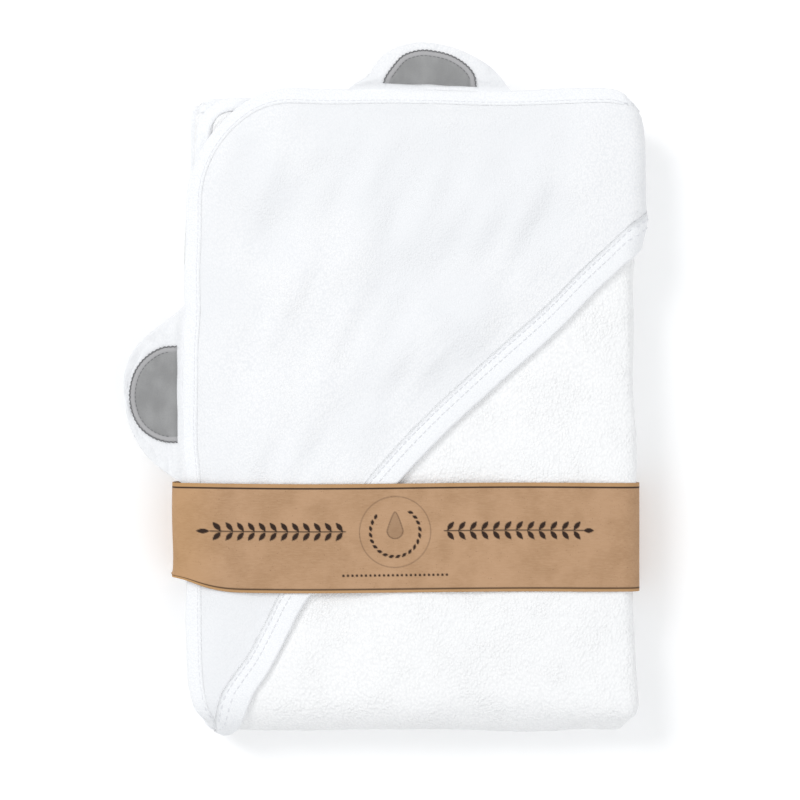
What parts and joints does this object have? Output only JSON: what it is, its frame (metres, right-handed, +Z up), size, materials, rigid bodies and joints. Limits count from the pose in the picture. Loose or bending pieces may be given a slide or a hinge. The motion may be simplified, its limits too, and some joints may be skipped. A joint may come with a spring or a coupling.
{
  "type": "folded hooded baby towel",
  "caption": "White terry hooded towel folded into a flat packet, with a bound hood corner, two ears with grey inner ears and a plain kraft paper belly band.",
  "frame": {"origin": "middle of the packet's flat resting face, on the table plane", "axes": "+Z up from the resting face, +Y along the packet's long side towards the end with the top ear, +X towards the folded side away from the other ear"},
  "size_m": [0.2435, 0.3245, 0.0405],
  "materials": {
    "terry": "looped terry, matt",
    "binding": "fine knit tape, matt",
    "thread": "spun polyester thread",
    "inner_ear": "short-pile velour, matt",
    "grey_thread": "spun polyester thread",
    "kraft": "uncoated kraft paper",
    "glue": "dried glue",
    "label": "woven satin tape"
  },
  "bodies": {
    "packet": {"towel_body": "terry", "hood_panel": "terry", "edge_tape": "binding", "hood_hem_tape": "binding", "edge_tape_thread": "thread", "hood_hem_thread": "thread", "care_label_thread": "thread"},
    "band": {"belly_band": "kraft", "belly_band_glue": "glue"},
    "left_ear": {"ear_left_front": "terry", "ear_left_back": "terry", "ear_left_inner": "inner_ear", "ear_left_inner_thread": "grey_thread"},
    "top_ear": {"ear_top_front": "terry", "ear_top_back": "terry", "ear_top_inner": "inner_ear", "ear_top_inner_thread": "grey_thread"},
    "label": {"care_label": "label"}
  },
  "joints": [
    {"name": "band_slide", "type": "slide", "parent": "packet", "child": "band", "axis": [0, -1, 0], "range_m": [0, 0.13]},
    {"name": "left_ear_flop", "type": "hinge", "parent": "packet", "child": "left_ear", "pos_m": [-0.10848, 0.0075, 0.0354], "axis": [0, 1, 0], "range_deg": [-75, 90], "stiffness_Nm_per_rad": 0.02},
    {"name": "top_ear_flop", "type": "hinge", "parent": "packet", "child": "top_ear", "pos_m": [0.0075, 0.15348, 0.0354], "axis": [1, 0, 0], "range_deg": [-75, 90], "stiffness_Nm_per_rad": 0.02},
    {"name": "label_flap", "type": "hinge", "parent": "packet", "child": "label", "pos_m": [-0.10663, 0.084, 0.0305], "axis": [0, 1, 0], "range_deg": [0, 85]}
  ]
}
